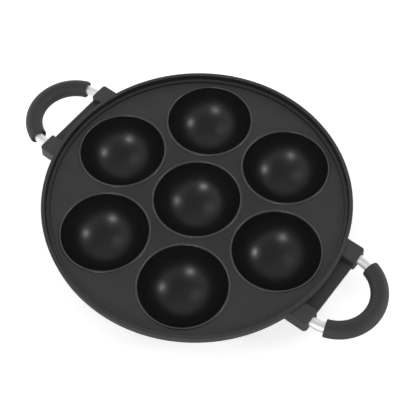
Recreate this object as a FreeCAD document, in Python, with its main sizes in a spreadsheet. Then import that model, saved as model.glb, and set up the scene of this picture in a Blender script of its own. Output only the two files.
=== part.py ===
import FreeCAD, Part

import math
import os
import re

import Sketcher
from FreeCAD import Placement, Rotation, Vector

# Stove-top pan with seven round bowls and two side loop handles, in millimetres.
# +Z is up, +X points to the right handle, and the origin lies on the pan's axis
# in the plane of the bowls' feet.

# ---------------------------------------------------------------- driving sizes

SIZES = [
    ("pan_radius", 115.0, "outside of the plate's edge"),
    ("plate_thickness", 3.5, "flat plate between the bowls"),
    ("edge_round", 2.5, "round under the rim's outer edge"),
    ("rim_height", 5.7, "rim top above the plate"),
    ("rim_flare", 0.5, "how far the rim's outside leans out up to its top"),
    ("rim_wall", 2.7, "thickness of the rim at its top"),
    ("rim_round", 0.8, "round on both edges of the rim's top"),
    ("rim_draft", 13.0, "degrees that the rim's inside leans in towards the lid seat"),
    ("seat_width", 2.3, "lid seat inside the rim"),
    ("seat_height", 1.2, "lid seat above the plate"),
    ("seat_slope", 0.25, "run of the step up to the lid seat"),
    ("seat_round", 0.5, "round in the corner between lid seat and rim"),
    ("bowl_count", 6, "bowls in the ring round the middle one"),
    ("bowl_ring", 72.7, "radius of the ring of bowl centres"),
    ("bowl_radius", 32.3, "opening of a bowl at the plate"),
    ("bowl_depth", 30.0, "deepest point of a bowl below the plate"),
    ("bowl_wall", 2.7, "wall of a bowl under the plate"),
    ("floor_thickness", 3.5, "metal under a bowl's deepest point"),
    ("foot_radius", 12.0, "flat foot under a bowl"),
    ("bowl_root", 1.2, "round where a bowl leaves the plate's underside"),
    ("bead_width", 2.1, "raised bead round a bowl's opening"),
    ("bead_height", 0.7, "bead above the plate"),
    ("lug_standout", 8.7, "outer face of the lugs beyond the rim"),
    ("lug_width", 14.4, "one lug, across its socket"),
    ("lug_wall", 1.1, "thinnest metal above and below a socket"),
    ("lug_root", 11.0, "how far a lug runs in under the rim"),
    ("lug_draft", 4.0, "degrees that a lug's sides spread out towards its foot"),
    ("lug_corner", 2.4, "plan round on a lug's outer corner"),
    ("lug_inner_corner", 1.2, "plan round on a lug's corner by the web"),
    ("lug_edge", 0.8, "round along a lug's upper and lower edges"),
    ("web_setback", 0.5, "outer face of the web back from the lugs' face"),
    ("web_root", 7.0, "how far a web runs in under the rim"),
    ("web_drop", 0.6, "web's upper face below the plate's"),
    ("web_edge", 0.5, "round along the web's outer edges"),
    ("rod_diameter", 7.5, "bent handle rod"),
    ("rod_drop", 1.3, "handle plane below the plate's upper face"),
    ("rod_depth", 11.4, "length of rod inside a lug"),
    ("rod_chamfer", 0.6, "chamfer on a rod's ends"),
    ("socket_gap", 0.3, "clearance round a rod in its socket"),
    ("socket_end", 0.3, "clearance beyond a rod's end"),
    ("loop_radius", 30.4, "bend of the rod, to its centreline"),
    ("loop_start", 0.7, "bend centre beyond the lugs' outer face"),
    ("grip_diameter", 13.1, "outside of the grip sleeve"),
    ("grip_gap", 0.15, "clearance between a grip and its rod"),
    ("grip_bare", 18.0, "degrees of the bend left bare at each end"),
    ("grip_round", 1.0, "round on the grip's outer ends"),
    ("mouth_flare", 1.3, "how far a grip's mouth opens out"),
    ("mouth_depth", 3.2, "how deep the flared mouth goes"),
    ("pin_diameter", 3.0, "slotted spring pin"),
    ("pin_wall", 0.6, "wall of the spring pin"),
    ("pin_slot", 0.5, "slot along the spring pin"),
    ("pin_fit", 0.05, "clearance round a pin in its hole"),
    ("pin_setback", 5.8, "pin axis in from the lugs' outer face"),
    ("pin_cover", 0.55, "metal left above a pin hole in the lug"),
    ("pin_inset", 0.3, "pin's lower end above the lug's underside"),
]
NAMES = {name for name, _, _ in SIZES}

# Heights and places that follow from the driving sizes.
PLATE = "(bowl_depth + floor_thickness)"
UNDERSIDE = f"({PLATE} - plate_thickness)"
RIM_TOP = f"({PLATE} + rim_height)"
RIM_OUTSIDE = "(pan_radius + rim_flare)"
RIM_INSIDE = f"({RIM_OUTSIDE} - rim_wall)"
RIM_FOOT = f"({RIM_INSIDE} - (rim_height - seat_height) * tan(rim_draft))"
SEAT_INSIDE = f"({RIM_FOOT} - seat_width)"
SOCKET_RADIUS = "(rod_diameter / 2 + socket_gap)"
ROD_HEIGHT = f"({PLATE} - rod_drop)"
LUG_TOP = f"({ROD_HEIGHT} + {SOCKET_RADIUS} + lug_wall)"
LUG_BOTTOM = f"({ROD_HEIGHT} - {SOCKET_RADIUS} - lug_wall)"
LUG_SPREAD = f"(({LUG_TOP} - {LUG_BOTTOM}) * tan(lug_draft))"
LUG_FACE = "(pan_radius + lug_standout)"
WEB_FACE = f"({LUG_FACE} - web_setback)"
BEND_CENTRE = f"({LUG_FACE} + loop_start)"
PIN_PLACE = f"({LUG_FACE} - pin_setback)"
PIN_HOLE_RADIUS = "(pin_diameter / 2 + pin_fit)"
PIN_BOTTOM = f"({LUG_BOTTOM} + pin_inset)"
PIN_HOLE_TOP = f"({LUG_TOP} - pin_cover)"
CLEAR = 1.0  # how far a cutting outline runs past the metal it cuts
NEAR = 1e-3  # two lengths closer than this count as the same

doc = FreeCAD.newDocument("SevenBowlPan")
sheet = doc.addObject("Spreadsheet::Sheet", "Sizes")
for row, (name, number, note) in enumerate(SIZES, start=1):
    sheet.set(f"A{row}", name)
    sheet.set(f"B{row}", str(number))
    sheet.set(f"C{row}", note)
    sheet.setAlias(f"B{row}", name)
doc.recompute()


# ---------------------------------------------------------------- drawing helpers

def bound(formula):
    """The formula with each size's name pointed at its cell in the sheet."""
    return re.sub(r"[a-z_]+", lambda m: f"Sizes.{m.group()}" if m.group() in NAMES else m.group(), formula)


def value(formula):
    """The formula's number for the sizes now in the sheet."""
    return float(sheet.evalExpression(bound(formula)))


def bind(feature, **formulas):
    """Tie a feature's properties to the sheet."""
    for name, formula in formulas.items():
        feature.setExpression(name, bound(formula))


def origin_part(body, role):
    """One of a body's own planes or axes, such as XY_Plane or Z_Axis."""
    return next(part for part in body.Origin.OriginFeatures if part.Role == role)


class Outline:
    """A sketch whose corners and rounds are all tied to the sheet."""

    def __init__(self, body, name, plane, across="0", up="0", lift="0"):
        self.sketch = body.newObject("Sketcher::SketchObject", name)
        self.sketch.AttachmentSupport = [(origin_part(body, plane), "")]
        self.sketch.MapMode = "FlatFace"
        for axis, formula in (("x", across), ("y", up), ("z", lift)):
            self.sketch.setExpression(f".AttachmentOffset.Base.{axis}", bound(formula))

    def fix(self, kind, target, formula):
        """Add a driving constraint whose value is a formula."""
        index = self.sketch.addConstraint(Sketcher.Constraint(kind, *target, value(formula)))
        self.sketch.setExpression(f"Constraints[{index}]", bound(formula))

    def place(self, geometry, point, across, up):
        """Hold a point at a distance from the sketch's origin."""
        self.fix("DistanceX", (-1, 1, geometry, point), across)
        self.fix("DistanceY", (-1, 1, geometry, point), up)

    def circle(self, across, up, radius):
        """A full circle."""
        centre = Vector(value(across), value(up), 0)
        ring = self.sketch.addGeometry(Part.Circle(centre, Vector(0, 0, 1), value(radius)))
        self.place(ring, 3, across, up)
        self.fix("Radius", (ring,), radius)
        return self

    def loop(self, *corners):
        """A closed run of lines; a corner with a round has that arc after it.

        A corner is (across, up) or (across, up, round). A round is a radius formula
        led by "left" or "right", the side it bulges to, or the word "dome" for
        an arc about the sketch's upright axis.
        """
        spots = [Vector(value(corner[0]), value(corner[1]), 0) for corner in corners]
        ends = []
        for number, corner in enumerate(corners):
            start, finish = spots[number], spots[(number + 1) % len(corners)]
            if len(corner) == 2:
                edge = self.sketch.addGeometry(Part.LineSegment(start, finish))
                ends.append((edge, 1, 2))
            else:
                ends.append(self.arc(start, finish, corner[2]))
        for number, corner in enumerate(corners):
            edge, first, _ = ends[number]
            before, _, last = ends[number - 1]
            self.sketch.addConstraint(Sketcher.Constraint("Coincident", before, last, edge, first))
            self.place(edge, first, corner[0], corner[1])
        return self

    def arc(self, start, finish, kind):
        """An arc from start to finish; gives its edge and which end comes first."""
        chord = finish - start
        if kind == "dome":
            rise = (finish.x**2 + finish.y**2 - start.x**2 - start.y**2) / (2 * chord.y)
            centre = Vector(0, rise, 0)
            reach = (start - centre).Length
            middle = centre + (start + finish - centre * 2).normalize() * reach
        else:
            side, radius = kind.split(" ", 1)
            reach = value(radius)
            sagitta = reach - math.sqrt(max(reach**2 - chord.Length**2 / 4, 0))
            across = Vector(-chord.y, chord.x, 0).normalize() * (sagitta if side == "left" else -sagitta)
            middle = (start + finish) * 0.5 + across
        edge = self.sketch.addGeometry(Part.Arc(start, middle, finish))
        if kind == "dome":
            self.sketch.addConstraint(Sketcher.Constraint("PointOnObject", edge, 3, -2))
        else:
            self.fix("Radius", (edge,), radius)
        from_first, from_second = ((self.sketch.getPoint(edge, end) - start).Length for end in (1, 2))
        return (edge, 1, 2) if from_first < from_second else (edge, 2, 1)


def new_body(node):
    """An empty body labelled with its node's name."""
    body = doc.addObject("PartDesign::Body", node)
    body.Label = node
    doc.recompute()
    return body


def turned(body, kind, name, outline, angle="360"):
    """A Revolution or Groove of an outline about its own upright axis."""
    feature = body.newObject(f"PartDesign::{kind}", name)
    feature.Profile = (outline.sketch, [""])
    feature.ReferenceAxis = (outline.sketch, ["V_Axis"])
    feature.Midplane = True
    bind(feature, Angle=angle)
    doc.recompute()
    return feature


def raised(body, kind, name, outline, length, reverse=False):
    """A Pad or Pocket of an outline by a length."""
    feature = body.newObject(f"PartDesign::{kind}", name)
    feature.Profile = (outline.sketch, [""])
    feature.Reversed = reverse
    bind(feature, Length=length)
    doc.recompute()
    return feature


def rounded(body, kind, name, base, keep, **formulas):
    """A Fillet or Chamfer on the edges of base that keep() picks."""
    names = [f"Edge{number}" for number, edge in enumerate(base.Shape.Edges, start=1) if keep(edge)]
    feature = body.newObject(f"PartDesign::{kind}", name)
    feature.Base = (base, names)
    bind(feature, **formulas)
    doc.recompute()
    return feature


# ---------------------------------------------------------------- the pan casting

def bowl_blank(body, name, across):
    """The full metal of one bowl: foot, domed outside and the bead on the plate."""
    outline = Outline(body, f"{name}_outline", "XZ_Plane", across=across)
    bead_radius = "((bead_width^2 / 4 + bead_height^2) / (2 * bead_height))"
    outline.loop(
        ("0", "0"),
        ("foot_radius", "0", "dome"),
        ("bowl_radius + bowl_wall", UNDERSIDE),
        ("bowl_radius + bead_width", PLATE, f"right {bead_radius}"),
        ("bowl_radius", PLATE),
        ("0", PLATE),
    )
    return turned(body, "Revolution", name, outline)


def bowl_hollow(body, name, across):
    """The smooth inside of one bowl, a slice of a sphere."""
    outline = Outline(body, f"{name}_outline", "XZ_Plane", across=across)
    outline.loop(("0", "floor_thickness", "dome"), ("bowl_radius", PLATE), ("0", PLATE))
    return turned(body, "Groove", name, outline)


def add_dish_blank(body):
    """The solid disc that the rim, seat and plate are hollowed from."""
    outline = Outline(body, "dish_outline", "XZ_Plane")
    outline.loop(
        ("0", UNDERSIDE),
        ("pan_radius - edge_round", UNDERSIDE, "right edge_round"),
        ("pan_radius", f"{UNDERSIDE} + edge_round"),
        (RIM_OUTSIDE, f"{RIM_TOP} - rim_round", "right rim_round"),
        (f"{RIM_OUTSIDE} - rim_round", RIM_TOP),
        ("0", RIM_TOP),
    )
    return turned(body, "Revolution", "dish_blank", outline)


def add_lugs(body):
    """One lug with its rod socket and pin hole, mirrored to all four places."""
    near, far = "(loop_radius - lug_width / 2)", "(loop_radius + lug_width / 2)"
    root = "(pan_radius - lug_root)"
    plan = Outline(body, "lug_plan", "XY_Plane", lift=LUG_TOP)
    plan.loop(
        (root, near),
        (f"{LUG_FACE} - lug_inner_corner", near, "right lug_inner_corner"),
        (LUG_FACE, f"{near} + lug_inner_corner"),
        (LUG_FACE, f"{far} - lug_corner", "right lug_corner"),
        (f"{LUG_FACE} - lug_corner", far),
        (root, far),
    )
    lug = raised(body, "Pad", "lug", plan, f"{LUG_TOP} - {LUG_BOTTOM}", reverse=True)
    bind(lug, TaperAngle="lug_draft")
    doc.recompute()

    mouth = Outline(body, "socket_outline", "YZ_Plane", lift=f"{LUG_FACE} + {LUG_SPREAD}")
    mouth.circle("loop_radius", ROD_HEIGHT, SOCKET_RADIUS)
    socket = raised(body, "Pocket", "rod_socket", mouth, f"rod_depth + socket_end + {LUG_SPREAD}")

    pin_plan = Outline(body, "pin_hole_outline", "XY_Plane", lift=LUG_BOTTOM)
    pin_plan.circle(PIN_PLACE, "loop_radius", PIN_HOLE_RADIUS)
    pin_hole = raised(body, "Pocket", "pin_hole", pin_plan, f"{PIN_HOLE_TOP} - {LUG_BOTTOM}", reverse=True)

    mirrors = []
    for name, plane in (("front_to_back", "XZ_Plane"), ("side_to_side", "YZ_Plane")):
        mirror = body.newObject("PartDesign::Mirrored", name)
        mirror.MirrorPlane = (origin_part(body, plane), [""])
        mirrors.append(mirror)
    four = body.newObject("PartDesign::MultiTransform", "four_lugs")
    four.Originals = [lug, socket, pin_hole]
    four.Transformations = mirrors
    body.Tip = four
    doc.recompute()
    return four


def add_webs(body):
    """The low flat web between the two lugs of each side."""
    inner = "(pan_radius - web_root)"
    half = "(loop_radius - lug_width / 2 + lug_inner_corner)"  # fills the lugs' rounded corners
    plan = Outline(body, "web_plan", "XY_Plane", lift=UNDERSIDE)
    plan.loop((inner, f"-{half}"), (WEB_FACE, f"-{half}"), (WEB_FACE, half), (inner, half))
    web = raised(body, "Pad", "web", plan, "plate_thickness - web_drop")
    both = body.newObject("PartDesign::Mirrored", "both_webs")
    both.Originals = [web]
    both.MirrorPlane = (origin_part(body, "YZ_Plane"), [""])
    body.Tip = both
    doc.recompute()
    return both


def add_dish_hollow(body):
    """Plate, lid seat and the leaning inside of the rim, cut in one turn."""
    seat = f"({PLATE} + seat_height)"
    upward = "(1 - sin(rim_draft))"
    setback = f"{upward} / cos(rim_draft)"  # from a sharp corner to where its round starts
    outline = Outline(body, "hollow_outline", "XZ_Plane")
    outline.loop(
        ("0", PLATE),
        (SEAT_INSIDE, PLATE),
        (f"{SEAT_INSIDE} + seat_slope", seat),
        (f"{RIM_FOOT} - seat_round * {setback}", seat, "right seat_round"),
        (f"{RIM_FOOT} - seat_round * ({setback} - cos(rim_draft))", f"{seat} + seat_round * {upward}"),
        (f"{RIM_INSIDE} + rim_round * ({setback} - cos(rim_draft))",
         f"{RIM_TOP} - rim_round * {upward}", "left rim_round"),
        (f"{RIM_INSIDE} + rim_round * {setback}", RIM_TOP),
        (f"{RIM_INSIDE} + rim_round * {setback}", f"{RIM_TOP} + {CLEAR}"),
        ("0", f"{RIM_TOP} + {CLEAR}"),
    )
    return turned(body, "Groove", "dish_hollow", outline)


def add_bowls(body):
    """The middle bowl, and one bowl of the ring patterned round it."""
    bowl_blank(body, "middle_bowl", "0")
    bowl_hollow(body, "middle_hollow", "0")
    blank = bowl_blank(body, "ring_bowl", "bowl_ring")
    hollow = bowl_hollow(body, "ring_hollow", "bowl_ring")
    ring = body.newObject("PartDesign::PolarPattern", "bowl_pattern")
    ring.Originals = [blank, hollow]
    ring.Axis = (origin_part(body, "Z_Axis"), [""])
    ring.Angle = 360
    bind(ring, Occurrences="bowl_count")
    body.Tip = ring
    doc.recompute()
    return ring


def is_circle(edge, radius):
    """Whether an edge is a circle, or part of one, of that radius."""
    return isinstance(edge.Curve, Part.Circle) and abs(edge.Curve.Radius - radius) < NEAR


def is_lug_edge(edge):
    """Whether an edge runs along a lug's upper or lower outline outside the rim."""
    middle = edge.valueAt((edge.FirstParameter + edge.LastParameter) / 2)
    box = edge.BoundBox
    faces = (value(LUG_TOP), value(LUG_BOTTOM))
    level = box.ZLength < NEAR and any(abs(box.ZMin - face) < NEAR for face in faces)
    beside = abs(middle.y) > value(f"loop_radius - lug_width / 2 - {LUG_SPREAD}") - NEAR
    reach = max(math.hypot(end.X, end.Y) for end in edge.Vertexes)
    outside = reach > value(RIM_OUTSIDE) + NEAR
    from_pin = math.hypot(abs(middle.x) - value(PIN_PLACE), abs(middle.y) - value("loop_radius"))
    return level and beside and outside and from_pin > value(PIN_HOLE_RADIUS) + NEAR


def is_web_edge(edge):
    """Whether an edge is the long upper or lower edge of a web's outer face."""
    box = edge.BoundBox
    on_face = all(abs(abs(place) - value(WEB_FACE)) < NEAR for place in (box.XMin, box.XMax))
    return on_face and box.YLength > value("loop_radius")


def is_bowl_root(edge):
    """Whether an edge is the circle where a bowl leaves the plate's underside."""
    level = edge.BoundBox.ZLength < NEAR and abs(edge.BoundBox.ZMin - value(UNDERSIDE)) < NEAR
    return level and is_circle(edge, value("bowl_radius + bowl_wall"))


def pan_casting():
    """The one-piece casting: plate, bowls, rim, lid seat, lugs and webs."""
    body = new_body("pan_casting")
    add_dish_blank(body)
    add_lugs(body)
    add_webs(body)
    add_dish_hollow(body)
    bowls = add_bowls(body)
    roots = rounded(body, "Fillet", "bowl_root_rounds", bowls, is_bowl_root, Radius="bowl_root")
    lugs = rounded(body, "Fillet", "lug_rounds", roots, is_lug_edge, Radius="lug_edge")
    rounded(body, "Fillet", "web_rounds", lugs, is_web_edge, Radius="web_edge")
    return body


# ---------------------------------------------------------------- handles

def seat(piece, side, across, height, along="0"):
    """Put a piece, drawn for the right side, at its place on either side of the pan."""
    turn, sign = (0, "") if side == "right" else (180, "-")
    piece.Placement = Placement(Vector(0, 0, 0), Rotation(Vector(0, 0, 1), turn))
    bind(piece, **{".Placement.Base.x": f"{sign}{across}", ".Placement.Base.y": along,
                   ".Placement.Base.z": height})


def handle_rod(side):
    """A round rod bent to a half circle, with a straight leg into each lug."""
    body = new_body(f"{side}_handle_rod")
    leg = "(loop_start + rod_depth)"
    path = Outline(body, f"{side}_rod_path", "XY_Plane")
    ends = [Vector(-value(leg), -value("loop_radius"), 0), Vector(0, -value("loop_radius"), 0),
            Vector(0, value("loop_radius"), 0), Vector(-value(leg), value("loop_radius"), 0)]
    sketch = path.sketch
    first = sketch.addGeometry(Part.LineSegment(ends[0], ends[1]))
    bend = sketch.addGeometry(Part.Arc(ends[1], Vector(value("loop_radius"), 0, 0), ends[2]))
    last = sketch.addGeometry(Part.LineSegment(ends[2], ends[3]))
    sketch.addConstraint(Sketcher.Constraint("Tangent", first, 2, bend, 1))
    sketch.addConstraint(Sketcher.Constraint("Tangent", bend, 2, last, 1))
    sketch.addConstraint(Sketcher.Constraint("Coincident", bend, 3, -1, 1))
    path.place(first, 1, f"-{leg}", "-loop_radius")
    sketch.addConstraint(Sketcher.Constraint("Horizontal", first))
    sketch.addConstraint(Sketcher.Constraint("Horizontal", last))
    path.fix("DistanceX", (-1, 1, last, 2), f"-{leg}")

    section = Outline(body, f"{side}_rod_section", "YZ_Plane", lift=f"-{leg}")
    section.circle("-loop_radius", "0", "rod_diameter / 2")
    doc.recompute()
    rod = body.newObject("PartDesign::AdditivePipe", f"{side}_rod_sweep")
    rod.Profile = (section.sketch, [""])
    rod.Spine = (sketch, ["Edge1", "Edge2", "Edge3"])
    rod.Transition = "Transformed"
    doc.recompute()

    holes = Outline(body, f"{side}_cross_holes", "XY_Plane", lift=f"-rod_diameter / 2 - {CLEAR}")
    for way in ("-", ""):
        holes.circle(f"{PIN_PLACE} - {BEND_CENTRE}", f"{way}loop_radius", PIN_HOLE_RADIUS)
    drilled = raised(body, "Pocket", f"{side}_cross_drilling", holes,
                     f"rod_diameter + 2 * {CLEAR}", reverse=True)
    end = -value(leg)
    rounded(body, "Chamfer", f"{side}_rod_chamfers", drilled,
            lambda edge: edge.BoundBox.XMax < end + NEAR, Size="rod_chamfer")
    seat(body, side, BEND_CENTRE, ROD_HEIGHT)
    return body


def is_mouth_edge(edge, radius):
    """Whether an edge is an end circle of that radius on a grip's tube."""
    return is_circle(edge, radius) and abs(edge.Curve.Axis.z) < NEAR


def handle_grip(side):
    """The moulded sleeve on a rod's bend, with flared mouths and rounded ends."""
    body = new_body(f"{side}_handle_grip")
    outside = Outline(body, f"{side}_grip_section", "XZ_Plane")
    outside.circle("loop_radius", "0", "grip_diameter / 2")
    turned(body, "Revolution", f"{side}_grip_sleeve", outside, angle="180 - 2 * grip_bare")
    inside = Outline(body, f"{side}_bore_section", "XZ_Plane")
    bore = "(rod_diameter / 2 + grip_gap)"
    inside.circle("loop_radius", "0", bore)
    bored = turned(body, "Groove", f"{side}_grip_bore", inside)
    flared = rounded(body, "Chamfer", f"{side}_grip_mouths", bored,
                     lambda edge: is_mouth_edge(edge, value(bore)), Size="mouth_flare")
    flared.ChamferType = "Two distances"
    bind(flared, Size2="mouth_depth")
    doc.recompute()
    rounded(body, "Fillet", f"{side}_grip_ends", flared,
            lambda edge: is_mouth_edge(edge, value("grip_diameter / 2")), Radius="grip_round")
    seat(body, side, BEND_CENTRE, ROD_HEIGHT)
    return body


# ---------------------------------------------------------------- spring pins

def spring_pin(side, end):
    """A slotted spring pin, driven up through a lug and the rod in it."""
    node = f"{side}_{end}_rod_pin"
    height = f"({PIN_HOLE_TOP} - {PIN_BOTTOM} - pin_inset)"
    outer = doc.addObject("Part::Cylinder", f"{node}_outside")
    bind(outer, Radius="pin_diameter / 2", Height=height)
    inner = doc.addObject("Part::Cylinder", f"{node}_inside")
    bind(inner, Radius="pin_diameter / 2 - pin_wall", Height=height)
    slot = doc.addObject("Part::Box", f"{node}_slot")
    bind(slot, Length="pin_diameter", Width="pin_slot", Height=height,
         **{".Placement.Base.y": "-pin_slot / 2"})
    opening = doc.addObject("Part::Fuse", f"{node}_opening")
    opening.Base, opening.Tool = inner, slot
    pin = doc.addObject("Part::Cut", node)
    pin.Base, pin.Tool = outer, opening
    pin.Label = node
    seat(pin, side, PIN_PLACE, PIN_BOTTOM, along="loop_radius" if end == "rear" else "-loop_radius")
    return pin


# ---------------------------------------------------------------- build and write

nodes = [pan_casting()]
for side in ("left", "right"):
    nodes.append(handle_rod(side))
    nodes.append(handle_grip(side))
    for end in ("front", "rear"):
        nodes.append(spring_pin(side, end))
doc.recompute()

for item in doc.Objects:
    if {"Invalid", "Error"} & set(item.State):
        raise RuntimeError(f"{item.Name} did not build: {item.State}")
for node in nodes:
    if node.Shape.isNull() or not node.Shape.isValid() or len(node.Shape.Solids) != 1:
        raise RuntimeError(f"{node.Label} is not one valid solid")

os.makedirs("parts", exist_ok=True)
for node in nodes:
    node.Shape.exportStep(f"parts/{node.Label}.step")
    box = node.Shape.optimalBoundingBox()
    spans = (f"{low:.2f}..{high:.2f}" for low, high in
             ((box.XMin, box.XMax), (box.YMin, box.YMax), (box.ZMin, box.ZMax)))
    print(f"{node.Label}: {node.Shape.Volume:.1f} mm3, x y z", *spans)
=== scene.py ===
"""Seven-bowl stove-top pan with two loop handles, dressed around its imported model.

Lengths are in metres. +Z is up, +X points at the right handle, and the origin lies on
the pan's axis in the plane that its feet stand on.
"""

from __future__ import annotations

import logging
import math
from collections.abc import Callable, Iterable
from dataclasses import dataclass, replace
from enum import Enum

import bmesh
import bpy
from mathutils import Matrix, Vector

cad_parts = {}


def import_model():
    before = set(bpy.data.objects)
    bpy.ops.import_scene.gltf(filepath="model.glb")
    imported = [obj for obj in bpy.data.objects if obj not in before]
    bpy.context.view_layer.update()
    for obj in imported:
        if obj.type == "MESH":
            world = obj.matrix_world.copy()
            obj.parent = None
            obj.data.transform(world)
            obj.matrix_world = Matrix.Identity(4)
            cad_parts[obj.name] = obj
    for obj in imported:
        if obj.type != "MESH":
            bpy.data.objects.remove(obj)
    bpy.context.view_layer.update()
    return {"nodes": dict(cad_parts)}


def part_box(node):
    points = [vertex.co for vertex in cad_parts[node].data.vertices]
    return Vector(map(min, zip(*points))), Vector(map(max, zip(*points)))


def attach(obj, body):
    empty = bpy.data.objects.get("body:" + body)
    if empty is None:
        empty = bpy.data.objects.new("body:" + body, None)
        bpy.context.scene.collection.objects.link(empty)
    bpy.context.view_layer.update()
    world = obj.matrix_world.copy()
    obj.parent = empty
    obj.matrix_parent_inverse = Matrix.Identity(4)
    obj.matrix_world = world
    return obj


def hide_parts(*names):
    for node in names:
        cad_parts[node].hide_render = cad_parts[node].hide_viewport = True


log = logging.getLogger("pan")

MM = 0.001
BODY = "root"
# Points nearer to one another than this are one point.
WELD = 1e-6
# Above 50, larger faces count for more in a corner's normal than by their area alone.
FACE_WEIGHT = 80
# The numbers of a Mix node's colour sockets, because their names repeat.
MIX_FIRST, MIX_SECOND, MIX_RESULT = 6, 7, 2
# Height and spread of the handles' rods, which the sockets in the lugs share.
ROD_HEIGHT = 32.2 * MM
LOOP_RADIUS = 30.4 * MM

Point = tuple[float, float]
Triple = tuple[float, float, float]
# A scale that flattens coordinates onto the ground.
FLATTEN: Triple = (1, 1, 0)


class Side(Enum):
    """Which end of the pan a handle is on; the value turns it from +X, in radians."""

    RIGHT = 0.0
    LEFT = math.pi


class Cut(Enum):
    """How two closed meshes are combined."""

    UNION = "UNION"
    DIFFERENCE = "DIFFERENCE"


class Chart(Enum):
    """Which coordinates a pattern lies on: the object's own, or the piece's map."""

    OBJECT = "Object"
    MAP = "UV"


class Course(Enum):
    """How a mapped value runs from one end of its range to the other."""

    STRAIGHT = "LINEAR"
    SMOOTH = "SMOOTHSTEP"


class Surface(Enum):
    """The kinds of surface on the casting; the value is the slot of its finish."""

    CAST = 0
    FLAT = 1
    TURNED = 2
    BEAD = 3
    LUG = 4


# ---------------------------------------------------------------- outlines and meshes


def arc(centre: Point, radius: float, start: float, end: float, steps: int) -> list[Point]:
    """Points along a circular arc, both ends included.

    Args:
        centre: The arc's centre.
        radius: Its radius.
        start: Angle of the first point, in degrees from the first axis.
        end: Angle of the last point, in degrees.
        steps: How many chords the arc is divided into.

    Returns:
        steps + 1 points.
    """
    angles = (math.radians(start + (end - start) * step / steps) for step in range(steps + 1))
    return [(centre[0] + radius * math.cos(a), centre[1] + radius * math.sin(a)) for a in angles]


def angle_of(centre: Point, point: Point) -> float:
    """Measure the direction of a point from a centre.

    Args:
        centre: Where it is seen from.
        point: The point.

    Returns:
        The angle in degrees from the first axis, from -180 to 180.
    """
    return math.degrees(math.atan2(point[1] - centre[1], point[0] - centre[0]))


def lathe(name: str, profile: list[Point], segments: int) -> bpy.types.Mesh:
    """Turn a profile about the upright axis, with a UV map in metres round and along it.

    Args:
        name: Name of the new mesh.
        profile: (radius, height) points; a radius of zero closes on the axis.
        segments: Faces round the axis.

    Returns:
        The turned mesh, which starts on +X and is open where the profile is.
    """
    mesh = bpy.data.meshes.new(name)
    shape = bmesh.new()
    rings = []
    for radius, height in profile:
        count = 1 if radius < WELD else segments
        turns = (2 * math.pi * number / segments for number in range(count))
        rings.append([shape.verts.new((radius * math.cos(t), radius * math.sin(t), height)) for t in turns])
    chart = shape.loops.layers.uv.new("surface")
    widest = 2 * math.pi * max(radius for radius, _ in profile)
    along = 0.0
    for number, (lower, upper) in enumerate(zip(rings, rings[1:])):
        reach = along + math.dist(profile[number], profile[number + 1])
        for column in range(segments):
            after = column + 1
            corners = [(lower, column, along), (lower, after, along),
                       (upper, after, reach), (upper, column, reach)]
            if len(lower) == 1:
                corners.pop(1)
            if len(upper) == 1:
                corners.pop(-2)
            face = shape.faces.new([ring[place % len(ring)] for ring, place, _ in corners])
            for loop, (_, place, height) in zip(face.loops, corners):
                loop[chart].uv = (widest * place / segments, height)
        along = reach
    shape.to_mesh(mesh)
    shape.free()
    return mesh


def prism(name: str, layers: Iterable[tuple[list[Point], float]]) -> bpy.types.Mesh:
    """Stack outlines of equally many points into one closed upright solid.

    Args:
        name: Name of the new mesh.
        layers: (outline, height) pairs, from the lowest up.

    Returns:
        The closed mesh, with its faces pointing outwards.
    """
    mesh = bpy.data.meshes.new(name)
    shape = bmesh.new()
    rings = [[shape.verts.new((x, y, height)) for x, y in outline] for outline, height in layers]
    count = len(rings[0])
    for lower, upper in zip(rings, rings[1:]):
        for here in range(count):
            after = (here + 1) % count
            shape.faces.new((lower[here], lower[after], upper[after], upper[here]))
    shape.faces.new(rings[0])
    shape.faces.new(rings[-1])
    bmesh.ops.recalc_face_normals(shape, faces=shape.faces)
    shape.to_mesh(mesh)
    shape.free()
    return mesh


def drum(name: str, radius: float, low: float, high: float, segments: int) -> bpy.types.Mesh:
    """Make an upright cylinder on the axis.

    Args:
        name: Name of the new mesh.
        radius: Its radius.
        low: Height of its lower end.
        high: Height of its upper end.
        segments: Faces round the axis.

    Returns:
        The cylinder with both ends closed.
    """
    return lathe(name, [(0, low), (radius, low), (radius, high), (0, high)], segments)


def new_piece(name: str, mesh: bpy.types.Mesh) -> bpy.types.Object:
    """Show a mesh as an object at the origin.

    Args:
        name: Name of the object.
        mesh: What it shows.

    Returns:
        The new object, in the scene.
    """
    piece = bpy.data.objects.new(name, mesh)
    bpy.context.scene.collection.objects.link(piece)
    return piece


def evaluated(piece: bpy.types.Object) -> bpy.types.Mesh:
    """Take an object's mesh as its modifiers leave it, and remove the object.

    Args:
        piece: The object, which is gone afterwards.

    Returns:
        A new mesh with the modifiers applied.
    """
    graph = bpy.context.evaluated_depsgraph_get()
    mesh = bpy.data.meshes.new_from_object(piece.evaluated_get(graph), depsgraph=graph)
    bpy.data.objects.remove(piece)
    return mesh


def combined(base: bpy.types.Mesh, tool: bpy.types.Mesh, cut: Cut) -> bpy.types.Mesh:
    """Join two closed meshes, or cut the second out of the first.

    Args:
        base: The mesh that is added to or cut.
        tool: The mesh that is added or cut away.
        cut: Which of the two.

    Returns:
        The combined mesh.
    """
    piece, other = new_piece("base", base), new_piece("tool", tool)
    modifier = piece.modifiers.new("cut", "BOOLEAN")
    modifier.operation = cut.value
    modifier.solver = "EXACT"
    modifier.object = other
    mesh = evaluated(piece)
    bpy.data.objects.remove(other)
    return mesh


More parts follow.
